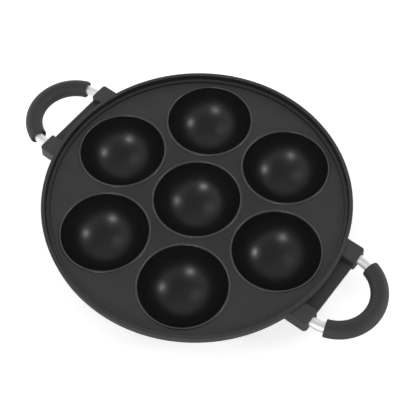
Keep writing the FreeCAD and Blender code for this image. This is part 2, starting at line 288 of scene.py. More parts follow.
def welded(mesh: bpy.types.Mesh) -> bpy.types.Mesh:
    """Merge doubles and turn every face outwards.

    Args:
        mesh: The mesh to mend, which is changed.

    Returns:
        The same mesh.
    """
    shape = bmesh.new()
    shape.from_mesh(mesh)
    bmesh.ops.remove_doubles(shape, verts=shape.verts, dist=WELD)
    bmesh.ops.recalc_face_normals(shape, faces=shape.faces)
    shape.to_mesh(mesh)
    shape.free()
    return mesh


def shaded(mesh: bpy.types.Mesh, crease: float) -> bpy.types.Mesh:
    """Shade a mesh smooth up to a crease angle, with flat faces kept flat.

    Args:
        mesh: The mesh to shade.
        crease: Angle in degrees from which an edge stays sharp.

    Returns:
        A mesh whose corner normals follow its larger faces.
    """
    mesh.shade_smooth()
    mesh.set_sharp_from_angle(angle=math.radians(crease))
    piece = new_piece("shading", mesh)
    modifier = piece.modifiers.new("weighted", "WEIGHTED_NORMAL")
    modifier.keep_sharp = True
    modifier.weight = FACE_WEIGHT
    return evaluated(piece)


# ---------------------------------------------------------------- node trees


class GeometryTree:
    """A Geometry Nodes tree with named inputs, built a node at a time."""

    KINDS = {float: "NodeSocketFloat", int: "NodeSocketInt", bpy.types.Object: "NodeSocketObject",
             bpy.types.Material: "NodeSocketMaterial"}

    def __init__(self, name: str) -> None:
        """Start a tree that takes a geometry and gives one.

        Args:
            name: Name of the tree, and of the modifier that runs it.
        """
        self.tree = bpy.data.node_groups.new(name, "GeometryNodeTree")
        self.tree.interface.new_socket("Geometry", in_out="OUTPUT", socket_type="NodeSocketGeometry")
        self.tree.interface.new_socket("Geometry", in_out="INPUT", socket_type="NodeSocketGeometry")
        self.entry = self.tree.nodes.new("NodeGroupInput")
        self.identifiers: dict[str, str] = {}

    @property
    def geometry(self) -> bpy.types.NodeSocket:
        """The geometry that comes into the tree."""
        return self.entry.outputs["Geometry"]

    def size(self, name: str, kind: type) -> bpy.types.NodeSocket:
        """Add a named input.

        Args:
            name: Name of the input.
            kind: Type of its value, one of KINDS.

        Returns:
            The socket that reads it.
        """
        socket = self.tree.interface.new_socket(name, in_out="INPUT", socket_type=self.KINDS[kind])
        self.identifiers[name] = socket.identifier
        return self.entry.outputs[name]

    def node(self, kind: str, *feeds: object, **settings: object) -> bpy.types.Node:
        """Add a node.

        Args:
            kind: The node's type, without its GeometryNode prefix where it has one.
            feeds: A socket, a value, or None for each of its first inputs; a list of
                sockets feeds one input that takes several.
            settings: The node's own options.

        Returns:
            The new node.
        """
        known = kind if kind.startswith(("Shader", "Function")) else f"GeometryNode{kind}"
        made = self.tree.nodes.new(known)
        for option, choice in settings.items():
            setattr(made, option, choice)
        for slot, feed in zip(made.inputs, feeds):
            for one in feed if isinstance(feed, list) else [feed]:
                if isinstance(one, bpy.types.NodeSocket):
                    self.tree.links.new(one, slot)
                elif one is not None:
                    slot.default_value = one
        return made

    def math(self, operation: str, *feeds: object) -> bpy.types.NodeSocket:
        """Add a Math node and give its result."""
        return self.node("ShaderNodeMath", *feeds, operation=operation).outputs[0]

    def close(self, geometry: bpy.types.NodeSocket, material: bpy.types.NodeSocket) -> None:
        """End the tree in real geometry that wears a material.

        Args:
            geometry: What the tree gives.
            material: The input that holds the material.
        """
        real = self.node("RealizeInstances", geometry)
        dressed = self.node("SetMaterial", real.outputs[0], None, material)
        leave = self.tree.nodes.new("NodeGroupOutput")
        self.tree.links.new(dressed.outputs[0], leave.inputs[0])

    def applied(self, mesh: bpy.types.Mesh, **values: object) -> bpy.types.Mesh:
        """Run the tree on a mesh.

        Args:
            mesh: What comes into the tree.
            values: The value of each named input, with _ for a space.

        Returns:
            The result as a plain mesh.
        """
        piece = new_piece(self.tree.name, mesh)
        modifier = piece.modifiers.new(self.tree.name, "NODES")
        modifier.node_group = self.tree
        for name, value in values.items():
            modifier[self.identifiers[name.replace("_", " ")]] = value
        return evaluated(piece)


class ShaderTree:
    """A shader node tree of a material or a surround, built a node at a time."""

    def __init__(self, owner: bpy.types.Material | bpy.types.World, output: str) -> None:
        """Start a tree that holds only its output.

        Args:
            owner: What the tree shades.
            output: The kind of its output node, without the ShaderNode prefix.
        """
        owner.use_nodes = True
        self.tree = owner.node_tree
        self.tree.nodes.clear()
        self.output = self.node(output)

    def node(self, kind: str, feeds: dict[str | int, object] | None = None,
             **settings: object) -> bpy.types.Node:
        """Add a node.

        Args:
            kind: The node's type, without its ShaderNode prefix.
            feeds: A socket or a value for each input, by the input's name or number.
            settings: The node's own options.

        Returns:
            The new node.
        """
        made = self.tree.nodes.new(f"ShaderNode{kind}")
        for option, choice in settings.items():
            setattr(made, option, choice)
        for name, feed in (feeds or {}).items():
            if isinstance(feed, bpy.types.NodeSocket):
                self.tree.links.new(feed, made.inputs[name])
            else:
                made.inputs[name].default_value = feed
        return made

    def math(self, operation: str, *feeds: object) -> bpy.types.NodeSocket:
        """Add a Math node and give its result."""
        return self.node("Math", dict(enumerate(feeds)), operation=operation).outputs[0]

    def spread(self, field: bpy.types.NodeSocket, low: float, high: float, start: float = 0.3,
               stop: float = 0.7, course: Course = Course.STRAIGHT) -> bpy.types.NodeSocket:
        """Map a field's useful range, start..stop, to low..high."""
        feeds = {"Value": field, "From Min": start, "From Max": stop, "To Min": low, "To Max": high}
        return self.node("MapRange", feeds, interpolation_type=course.value).outputs[0]

    def off_axis(self, where: bpy.types.NodeSocket) -> bpy.types.NodeSocket:
        """Distance of a place from the origin."""
        return self.node("VectorMath", {"Vector": where}, operation="LENGTH").outputs["Value"]

    def facing(self, way: bpy.types.NodeSocket, side: Triple) -> bpy.types.NodeSocket:
        """How far a direction points to a side, from its dot product with it."""
        return self.node("VectorMath", {0: way, 1: side}, operation="DOT_PRODUCT").outputs["Value"]


class MaterialTree(ShaderTree):
    """A material's node tree, with the patterns that its finishes share."""

    def __init__(self, name: str) -> None:
        """Start a material that holds only its output."""
        self.material = bpy.data.materials.new(name)
        super().__init__(self.material, "OutputMaterial")

    def place(self, chart: Chart = Chart.OBJECT, scale: Triple = (1, 1, 1),
              shift: Triple = (0, 0, 0)) -> bpy.types.NodeSocket:
        """Coordinates on a piece, stretched and then shifted."""
        source = self.node("TexCoord").outputs[chart.value]
        return self.node("Mapping", {"Vector": source, "Scale": scale, "Location": shift}).outputs[0]

    def noise(self, where: bpy.types.NodeSocket, scale: float, detail: float = 2.0) -> bpy.types.NodeSocket:
        """A noise field, from 0 to 1."""
        return self.node("TexNoise", {"Vector": where, "Scale": scale, "Detail": detail}).outputs["Fac"]

    def shade(self, field: bpy.types.NodeSocket, dark: Triple, light: Triple) -> bpy.types.NodeSocket:
        """A colour between two, by a field."""
        feeds = {"Factor": field, MIX_FIRST: (*dark, 1), MIX_SECOND: (*light, 1)}
        return self.node("Mix", feeds, data_type="RGBA").outputs[MIX_RESULT]

    def bump(self, height: bpy.types.NodeSocket, depth: float, strength: float,
             under: bpy.types.NodeSocket | None = None) -> bpy.types.NodeSocket:
        """Turn a height field into surface normals.

        Args:
            height: The field, from 0 to 1.
            depth: Height in metres of a full step of the field.
            strength: Share of the effect.
            under: An earlier bump that this one lies on, or None.

        Returns:
            The normals.
        """
        feeds: dict[str | int, object] = {"Height": height, "Distance": depth, "Strength": strength}
        if under is not None:
            feeds["Normal"] = under
        return self.node("Bump", feeds).outputs[0]

    def surface(self, feeds: dict[str | int, object]) -> bpy.types.Material:
        """End the tree in a Principled surface.

        Args:
            feeds: A socket or a value for each named input of the surface.

        Returns:
            The finished material.
        """
        shader = self.node("BsdfPrincipled", feeds)
        self.tree.links.new(shader.outputs[0], self.output.inputs["Surface"])
        return self.material


# ---------------------------------------------------------------- finishes


@dataclass(frozen=True)
class NonStickCoating:
    """Black non-stick coating, sprayed and baked on the casting."""

    name: str
    matte: float
    index: float
    dark: Triple = (0.0075, 0.0075, 0.0076)
    light: Triple = (0.0195, 0.0195, 0.0197)
    # Painted light: the share of the lighter colour that comes with the distance from the middle, and where.
    outward: float = 0.0
    rim_light_from: float = 45 * MM
    rim_light_to: float = 120 * MM
    unevenness: float = 0.04
    cloud: float = 62.0
    cloud_detail: float = 4.0
    speckle: float = 1400.0
    speckle_depth: float = 0.012 * MM
    speckle_strength: float = 0.6
    ripple: float = 260.0
    ripple_detail: float = 1.0
    ripple_depth: float = 0.02 * MM
    ripple_strength: float = 0.5

    def material(self) -> bpy.types.Material:
        """Build the coating: cloudy colour, painted light towards the rim, sprayed speckle and a faint
        ripple.

        Returns:
            The coating as a material.
        """
        tree = MaterialTree(self.name)
        where = tree.place()
        off_axis = tree.off_axis(tree.place(scale=FLATTEN))
        painted_rim_light = tree.spread(off_axis, 0, self.outward, self.rim_light_from, self.rim_light_to)
        cloud = tree.noise(where, self.cloud, self.cloud_detail)
        speckle = tree.noise(where, self.speckle)
        ripple = tree.noise(where, self.ripple, self.ripple_detail)
        waves = tree.bump(ripple, self.ripple_depth, self.ripple_strength)
        # Painted light: the colour grows lighter towards the rim, on top of its random cloud.
        tone = tree.math("ADD", tree.spread(cloud, 0, 1 - self.outward), painted_rim_light)
        return tree.surface({
            "Base Color": tree.shade(tone, self.dark, self.light),
            "Roughness": tree.spread(cloud, self.matte + self.unevenness, self.matte - self.unevenness),
            "Normal": tree.bump(speckle, self.speckle_depth, self.speckle_strength, waves),
            "IOR": self.index,
        })


@dataclass(frozen=True)
class DrawnSteel:
    """Bright steel rod, with fine lines drawn along it."""

    dark: Triple = (0.86, 0.86, 0.865)
    light: Triple = (0.95, 0.95, 0.95)
    roughness: tuple[float, float] = (0.44, 0.54)
    cloud: float = 160.0
    cloud_detail: float = 3.0
    lines: float = 5200.0
    line_stretch: Triple = (1, 0.03, 1)
    line_depth: float = 0.006 * MM
    line_strength: float = 0.4

    def material(self) -> bpy.types.Material:
        """Build the steel: drawn lines run along the rod's own map.

        Returns:
            The steel as a material.
        """
        tree = MaterialTree("drawn_steel")
        lines = tree.noise(tree.place(Chart.MAP, self.line_stretch), self.lines)
        cloud = tree.noise(tree.place(), self.cloud, self.cloud_detail)
        return tree.surface({
            "Base Color": tree.shade(tree.spread(lines, 0, 1), self.dark, self.light),
            "Metallic": 1.0,
            "Roughness": tree.spread(cloud, *self.roughness),
            "Normal": tree.bump(lines, self.line_depth, self.line_strength),
        })


@dataclass(frozen=True)
class MouldedGrip:
    """Matte heat-proof plastic, straight from a lightly etched mould."""

    dark: Triple = (0.019, 0.019, 0.0195)
    light: Triple = (0.026, 0.026, 0.0265)
    roughness: tuple[float, float] = (0.56, 0.64)
    index: float = 1.5
    cloud: float = 70.0
    cloud_detail: float = 3.0
    etch: float = 2600.0
    etch_depth: float = 0.015 * MM
    etch_strength: float = 0.5

    def material(self) -> bpy.types.Material:
        """Build the plastic: an etched grain and slow changes of sheen.

        Returns:
            The plastic as a material.
        """
        tree = MaterialTree("moulded_grip")
        where = tree.place()
        cloud = tree.noise(where, self.cloud, self.cloud_detail)
        grain = tree.noise(where, self.etch)
        return tree.surface({
            "Base Color": tree.shade(tree.spread(cloud, 0, 1), self.dark, self.light),
            "Roughness": tree.spread(cloud, *self.roughness),
            "Normal": tree.bump(grain, self.etch_depth, self.etch_strength),
            "IOR": self.index,
        })


@dataclass(frozen=True)
class SpringSteel:
    """Oiled dark spring steel of the slotted pins."""

    dark: Triple = (0.20, 0.20, 0.205)
    light: Triple = (0.34, 0.34, 0.345)
    roughness: tuple[float, float] = (0.28, 0.41)
    marks: float = 4000.0
    mark_stretch: Triple = (1, 1, 0.05)

    def material(self) -> bpy.types.Material:
        """Build the steel, with rolling marks up the pin.

        Returns:
            The steel as a material.
        """
        tree = MaterialTree("spring_steel")
        marks = tree.noise(tree.place(scale=self.mark_stretch), self.marks)
        return tree.surface({
            "Base Color": tree.shade(tree.spread(marks, 0, 1), self.dark, self.light),
            "Metallic": 1.0,
            "Roughness": tree.spread(marks, *self.roughness),
        })


# The coating lies rougher and lighter on metal as it was cast than on turned metal.
# Part of that lighter colour is painted light, for the light that the lug tops and outer faces catch.
CAST_COATING = NonStickCoating("cast_coating", matte=0.80, index=1.62,
                               dark=(0.020, 0.020, 0.0201), light=(0.031, 0.031, 0.0312))
COATINGS = {
    Surface.CAST: CAST_COATING,
    Surface.LUG: replace(CAST_COATING, name="lug_coating", matte=0.56, index=1.58),
    # The flat plate's outward share paints it lighter towards the rim, as painted light.
    Surface.FLAT: NonStickCoating(
        "nonstick_coating", matte=0.58, index=1.50, dark=(0.0108, 0.0108, 0.0109),
        light=(0.0280, 0.0280, 0.0282), outward=0.85, unevenness=0.06),
    Surface.TURNED: NonStickCoating(
        "turned_coating", matte=0.30, index=1.5, dark=(0.006, 0.006, 0.0061),
        light=(0.0100, 0.0100, 0.0101), speckle_depth=0.004 * MM, ripple_depth=0.006 * MM),
    Surface.BEAD: NonStickCoating(
        "bead_coating", matte=0.30, index=1.72, unevenness=0.02,
        speckle_depth=0.001 * MM, ripple_depth=0.002 * MM),
}


# ---------------------------------------------------------------- the pan casting


def bowl_ring_tree() -> GeometryTree:
    """One bowl repeated in the middle and round a ring, in a plate that joins them all.

    Returns:
        The tree, which takes one bowl about the axis.
    """
    tree = GeometryTree("ring_of_bowls")
    rim = tree.size("Rim", bpy.types.Object)
    count = tree.size("Bowls", int)
    ring = tree.size("Ring Radius", float)
    bowl_faces = tree.size("Bowl Faces", int)
    rim_faces = tree.size("Rim Faces", int)
    circle = tree.node("MeshCircle", count, ring)
    middle = tree.node("Points")
    spots = tree.node("JoinGeometry", [circle.outputs[0], middle.outputs[0]])
    bowls = tree.node("InstanceOnPoints", spots.outputs[0], None, tree.geometry)
    parts = [tree.node("RealizeInstances", bowls.outputs[0]).outputs[0],
             tree.node("ObjectInfo", rim).outputs["Geometry"]]
    for face in ("Plate", "Underside"):
        hole = tree.node("CurvePrimitiveCircle", bowl_faces)
        edge = tree.node("CurvePrimitiveCircle", rim_faces)
        tree.tree.links.new(tree.size(f"{face} Hole", float), hole.inputs["Radius"])
        tree.tree.links.new(tree.size(f"{face} Radius", float), edge.inputs["Radius"])
        holes = tree.node("InstanceOnPoints", spots.outputs[0], None, hole.outputs[0])
        real = tree.node("RealizeInstances", holes.outputs[0])
        loops = tree.node("JoinGeometry", [real.outputs[0], edge.outputs[0]])
        level = tree.node("ShaderNodeCombineXYZ", None, None, tree.size(f"{face} Height", float))
        filled = tree.node("FillCurve", loops.outputs[0])
        parts.append(tree.node("Transform", filled.outputs[0], level.outputs[0]).outputs[0])
    whole = tree.node("JoinGeometry", parts)
    merged = tree.node("MergeByDistance", whole.outputs[0], None, WELD)
    tree.close(merged.outputs[0], tree.size("Coating", bpy.types.Material))
    return tree


def four_corner_tree() -> GeometryTree:
    """A piece repeated by mirroring it front to back and side to side.

    Returns:
        The tree, which takes the piece of the right rear corner.
    """
    tree = GeometryTree("four_corners")
    geometry = tree.geometry
    for scale in ((1, -1, 1), (-1, 1, 1)):
        mirrored = tree.node("Transform", geometry, None, None, scale)
        outward = tree.node("FlipFaces", mirrored.outputs[0])
        geometry = tree.node("JoinGeometry", [geometry, outward.outputs[0]]).outputs[0]
    tree.close(geometry, tree.size("Coating", bpy.types.Material))
    return tree


@dataclass
class PanCasting:
    """The one-piece casting: plate, bowls, rim, lid seat, lugs and webs."""

    pan_radius: float = 114.96 * MM
    plate: float = 33.5 * MM
    plate_thickness: float = 3.5 * MM
    edge_round: float = 2.5 * MM
    rim_top: float = 39.2 * MM
    rim_flare: float = 0.5 * MM
    rim_wall: float = 2.66 * MM
    rim_round: float = 0.8 * MM
    rim_draft: float = math.radians(13.0)
    seat_width: float = 2.3 * MM
    seat_height: float = 1.2 * MM
    seat_slope: float = 0.25 * MM
    seat_round: float = 0.5 * MM
    bowls_in_ring: int = 6
    bowl_ring: float = 72.7 * MM
    bowl_radius: float = 32.3 * MM
    bowl_depth: float = 30.0 * MM
    bowl_wall: float = 2.7 * MM
    bowl_root: float = 1.2 * MM
    foot_radius: float = 12.0 * MM
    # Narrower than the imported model's 2.1 mm, which looks heavy once it shines.
    bead_width: float = 1.75 * MM
    bead_height: float = 0.7 * MM
    lug_face: float = 123.7 * MM
    lug_root: float = 104.0 * MM
    lug_width: float = 14.4 * MM
    lug_draft: float = math.radians(4.0)
    lug_corner: float = 2.4 * MM
    lug_inner_corner: float = 1.2 * MM
    lug_edge: float = 0.8 * MM
    lug_half_height: float = 5.15 * MM
    socket_radius: float = 4.05 * MM
    socket_depth: float = 11.7 * MM
    pin_hole_radius: float = 1.55 * MM
    pin_setback: float = 5.8 * MM
    pin_cover: float = 0.55 * MM
    web_setback: float = 0.5 * MM
    web_drop: float = 0.6 * MM
    web_root: float = 108.0 * MM
    web_edge: float = 0.5 * MM
    rod_height: float = ROD_HEIGHT
    rod_spread: float = LOOP_RADIUS
    # Faces round each turned form, and chords along each arc.
    bowl_faces: int = 96
    rim_faces: int = 288
    socket_faces: int = 48
    pin_hole_faces: int = 32
    bowl_steps: int = 34
    dome_steps: int = 20
    wide_steps: int = 10
    bead_steps: int = 8
    round_steps: int = 6
    edge_steps: int = 5
    seat_steps: int = 4
    crease: float = 32.0
    # How far a face's normal points up, or outwards, where one surface gives way to the next.
    rise_of_slope: float = 0.5
    rise_of_soffit: float = -0.05
    rise_of_flank: float = 0.3
    turn_of_flank: float = 0.8
    turn_of_step: float = -0.75

    @property
    def underside(self) -> float:
        """Height of the plate's lower face."""
        return self.plate - self.plate_thickness

    @property
    def rim_outside(self) -> float:
        """Radius of the rim's outer wall at its top."""
        return self.pan_radius + self.rim_flare

    @property
    def rim_inside(self) -> float:
        """Radius of the rim's inner wall at its top."""
        return self.rim_outside - self.rim_wall

    @property
    def seat_edge(self) -> float:
        """Radius at which the step up to the lid seat leaves the plate."""
        run = (self.rim_top - self.plate - self.seat_height) * math.tan(self.rim_draft)
        return self.rim_inside - run - self.seat_width

    @property
    def bowl_centres(self) -> list[Point]:
        """Where the bowls' axes stand, the middle one first."""
        turns = (2 * math.pi * number / self.bowls_in_ring for number in range(self.bowls_in_ring))
        return [(0.0, 0.0), *((self.bowl_ring * math.cos(t), self.bowl_ring * math.sin(t)) for t in turns)]

    def bowl_mesh(self) -> tuple[bpy.types.Mesh, float]:
        """One bowl about the axis, and how wide its root is under the plate.

        Returns:
            The inside with its bead and the outside with its foot, as two open skins,
            and the radius at which the outside meets the plate's underside.
        """
        floor = self.plate - self.bowl_depth
        ball = (self.bowl_radius**2 + self.bowl_depth**2) / (2 * self.bowl_depth)
        centre = (0.0, floor + ball)
        mouth = (self.bowl_radius, self.plate)
        inside = arc(centre, ball, -90, angle_of(centre, mouth), self.bowl_steps)
        inside[0] = (0.0, floor)
        bead = (self.bead_width**2 / 4 + self.bead_height**2) / (2 * self.bead_height)
        crown = (self.bowl_radius + self.bead_width / 2, self.plate + self.bead_height - bead)
        start = angle_of(crown, mouth)
        inside += arc(crown, bead, start, 180 - start, self.bead_steps)[1:]

        outer = self.bowl_radius + self.bowl_wall
        rise = (outer**2 + self.underside**2 - self.foot_radius**2) / (2 * self.underside)
        middle, foot = (0.0, rise), (self.foot_radius, 0.0)
        dome = math.hypot(self.foot_radius, rise)
        root_height = self.underside - self.bowl_root
        root = (math.sqrt((dome + self.bowl_root)**2 - (rise - root_height)**2), root_height)
        outside = [(0.0, 0.0), foot]
        outside += arc(middle, dome, angle_of(middle, foot), angle_of(middle, root), self.dome_steps)[1:]
        outside += arc(root, self.bowl_root, angle_of(root, middle), 90, self.round_steps)[1:]
        skins = bmesh.new()
        for skin in (inside, outside):
            skins.from_mesh(lathe("bowl_skin", skin, self.bowl_faces))
        mesh = bpy.data.meshes.new("bowl")
        skins.to_mesh(mesh)
        skins.free()
        return mesh, root[0]

    def rim_mesh(self) -> tuple[bpy.types.Mesh, Point, Point]:
        """The rim with its lid seat.

        Returns:
            The rim as an open skin, and the (radius, height) points at which it leaves
            the plate's upper and lower face.
        """
        seat, top = self.plate + self.seat_height, self.rim_top - self.rim_round
        step = (self.seat_edge, self.plate)
        under = (self.pan_radius - self.edge_round, self.underside)
        lean = math.degrees(self.rim_draft)
        setback = (1 - math.sin(self.rim_draft)) / math.cos(self.rim_draft)
        corner = self.seat_edge + self.seat_width - self.seat_round * setback
        crest = self.rim_inside + self.rim_round * setback
        profile = [step, (step[0] + self.seat_slope, seat)]
        profile += arc((corner, seat + self.seat_round), self.seat_round, -90, -lean, self.seat_steps)
        profile += arc((crest, top), self.rim_round, 180 - lean, 90, self.round_steps)
        profile += arc((self.rim_outside - self.rim_round, top), self.rim_round, 90, 0, self.round_steps)
        profile += arc((under[0], self.underside + self.edge_round), self.edge_round, 0, -90, self.wide_steps)
        return lathe("rim", profile, self.rim_faces), step, under

    def dish(self, coating: bpy.types.Material) -> bpy.types.Mesh:
        """The closed dish: plate, bowls and rim, without lugs.

        Args:
            coating: The material that its faces wear at first.

        Returns:
            The dish as one closed mesh.
        """
        bowl, root = self.bowl_mesh()
        rim_mesh, step, under = self.rim_mesh()
        rim = new_piece("rim", rim_mesh)
        mesh = bowl_ring_tree().applied(
            bowl, Rim=rim, Bowls=self.bowls_in_ring, Ring_Radius=self.bowl_ring,
            Bowl_Faces=self.bowl_faces, Rim_Faces=self.rim_faces,
            Plate_Hole=self.bowl_radius + self.bead_width, Plate_Radius=step[0], Plate_Height=step[1],
            Underside_Hole=root, Underside_Radius=under[0], Underside_Height=under[1], Coating=coating)
        bpy.data.objects.remove(rim)
        return welded(mesh)

    def lug_outline(self, inset: float) -> list[Point]:
        """The right rear lug seen from above.

        Args:
            inset: How far its sides and its outer face are drawn in.

        Returns:
            The outline, from its root round the outer face and back.
        """
        near = self.rod_spread - self.lug_width / 2 + inset
        far = self.rod_spread + self.lug_width / 2 - inset
        face = self.lug_face - inset
        inner, outer = self.lug_inner_corner - inset, self.lug_corner - inset
        return [(self.lug_root, near), *arc((face - inner, near + inner), inner, -90, 0, self.round_steps),
                *arc((face - outer, far - outer), outer, 0, 90, self.wide_steps), (self.lug_root, far)]

    def rounded_layers(self, outline: Callable[[float], list[Point]], low: float, high: float,
                       edge: float, draft: float = 0.0) -> list[tuple[list[Point], float]]:
        """Stack outlines that round the upper and lower edges of a solid.

        Args:
            outline: Gives the solid's outline, drawn in by an inset.
            low: Height of the lower face.
            high: Height of the upper face.
            edge: Radius of the rounds.
            draft: Angle at which the sides spread out downwards.

        Returns:
            (outline, height) pairs, from the lowest up.
        """
        turn = arc((0.0, 0.0), edge, 0, 90, self.edge_steps)
        insets = [(edge - out, low + edge - up) for out, up in reversed(turn)]
        insets += [(edge - out, high - edge + up) for out, up in turn]
        return [(outline(inset - (high - height) * math.tan(draft)), height) for inset, height in insets]

    def lug(self) -> bpy.types.Mesh:
        """The right rear lug, with its rod socket and pin hole, clear of the dish.

        Returns:
            The lug as a closed mesh, in its place.
        """
        low, high = self.rod_height - self.lug_half_height, self.rod_height + self.lug_half_height
        block = prism("lug", self.rounded_layers(self.lug_outline, low, high, self.lug_edge, self.lug_draft))
        in_plate = (self.underside + self.plate) / 2
        in_rim = self.pan_radius - self.rim_wall / 2
        room = drum("dish_room", in_rim, in_plate, 2 * high, self.rim_faces)
        block = combined(block, welded(room), Cut.DIFFERENCE)
        socket = welded(drum("socket", self.socket_radius, -self.socket_depth, self.socket_depth,
                             self.socket_faces))
        socket.transform(Matrix.Translation((self.lug_face, self.rod_spread, self.rod_height))
                         @ Matrix.Rotation(math.pi / 2, 4, "Y"))
        block = combined(block, socket, Cut.DIFFERENCE)
        pin_hole = welded(drum("pin_hole", self.pin_hole_radius, 0, high - self.pin_cover,
                               self.pin_hole_faces))
        pin_hole.transform(Matrix.Translation((self.lug_face - self.pin_setback, self.rod_spread, 0)))
        return combined(block, pin_hole, Cut.DIFFERENCE)

    def web_outline(self, inset: float) -> list[Point]:
        """The web between the right lugs, seen from above.

        Args:
            inset: How far its outer face is drawn in.

        Returns:
            The outline's four corners.
        """
        half = self.rod_spread - self.lug_width / 2 + self.lug_inner_corner
        face = self.lug_face - self.web_setback - inset
        return [(self.web_root, -half), (face, -half), (face, half), (self.web_root, half)]

    def web(self, side: Side) -> bpy.types.Mesh:
        """The low flat web between the two lugs of one side.

        Args:
            side: The side of the pan that it stands on.

        Returns:
            The web as a closed mesh, in its place.
        """
        top = self.plate - self.web_drop
        mesh = prism("web", self.rounded_layers(self.web_outline, self.underside, top, self.web_edge))
        mesh.transform(Matrix.Rotation(side.value, 4, "Z"))
        return mesh

    def surface_of(self, face: bpy.types.MeshPolygon) -> Surface:
        """Tell which kind of surface a face of the casting lies on.

        Args:
            face: A face of the finished casting.

        Returns:
            The kind, from the face's place and from where it points.
        """
        x, y, height = face.center
        off_axis = math.hypot(x, y)
        rise = face.normal.z
        outwards = (face.normal.x * x + face.normal.y * y) / off_axis if off_axis else 0.0
        upright = rise < self.rise_of_slope
        flank = abs(rise) < self.rise_of_flank and abs(outwards) < self.turn_of_flank
        if off_axis > self.rim_outside and (upright or height > self.plate):
            return Surface.LUG
        if off_axis > self.web_root and flank:
            return Surface.LUG
        if (upright and off_axis > self.pan_radius - self.rim_round) or rise < self.rise_of_soffit:
            return Surface.CAST
        if off_axis > self.seat_edge - WELD:
            return Surface.TURNED if outwards < self.turn_of_step else Surface.FLAT
        off = min(math.dist((x, y), centre) for centre in self.bowl_centres)
        if off < self.bowl_radius:
            return Surface.TURNED
        return Surface.BEAD if off < self.bowl_radius + self.bead_width else Surface.FLAT

    def build(self, finishes: dict[Surface, bpy.types.Material]) -> bpy.types.Object:
        """Make the whole casting.

        Args:
            finishes: The finish of each kind of surface.

        Returns:
            The casting, dressed in its finishes.
        """
        mesh = self.dish(finishes[Surface.CAST])
        for side in Side:
            mesh = combined(mesh, self.web(side), Cut.UNION)
        lugs = four_corner_tree().applied(self.lug(), Coating=finishes[Surface.CAST])
        mesh = combined(mesh, lugs, Cut.UNION)
        mesh.materials.clear()
        for surface in Surface:
            mesh.materials.append(finishes[surface])
        for face in mesh.polygons:
            face.material_index = self.surface_of(face).value
        return new_piece("pan_body", shaded(welded(mesh), self.crease))


# ---------------------------------------------------------------- handles


def loop_bend_tree() -> GeometryTree:
    """A straight upright piece bent round a half circle, with straight legs beyond it.

    Returns:
        The tree, which takes a piece whose length lies along +Z about the origin.
    """
    tree = GeometryTree("loop_bend")
    radius = tree.size("Bend Radius", float)
    position = tree.node("InputPosition").outputs[0]
    split = tree.node("ShaderNodeSeparateXYZ", position)
    across, beside, along = split.outputs
    quarter = tree.math("MULTIPLY", radius, math.pi / 2)
    lowest = tree.math("MULTIPLY", quarter, -1.0)
    on_bend = tree.math("MINIMUM", tree.math("MAXIMUM", along, lowest), quarter)
    turn = tree.math("DIVIDE", on_bend, radius)
    leg = tree.math("SUBTRACT", along, on_bend)
    reach = tree.math("ADD", radius, across)
    cosine, sine = tree.math("COSINE", turn), tree.math("SINE", turn)
    place_x = tree.math("SUBTRACT", tree.math("MULTIPLY", reach, cosine), tree.math("MULTIPLY", leg, sine))
    place_y = tree.math("ADD", tree.math("MULTIPLY", reach, sine), tree.math("MULTIPLY", leg, cosine))
    place = tree.node("ShaderNodeCombineXYZ", place_x, place_y, beside)
    bent = tree.node("SetPosition", tree.geometry, None, place.outputs[0])
    tree.close(bent.outputs[0], tree.size("Finish", bpy.types.Material))
    return tree


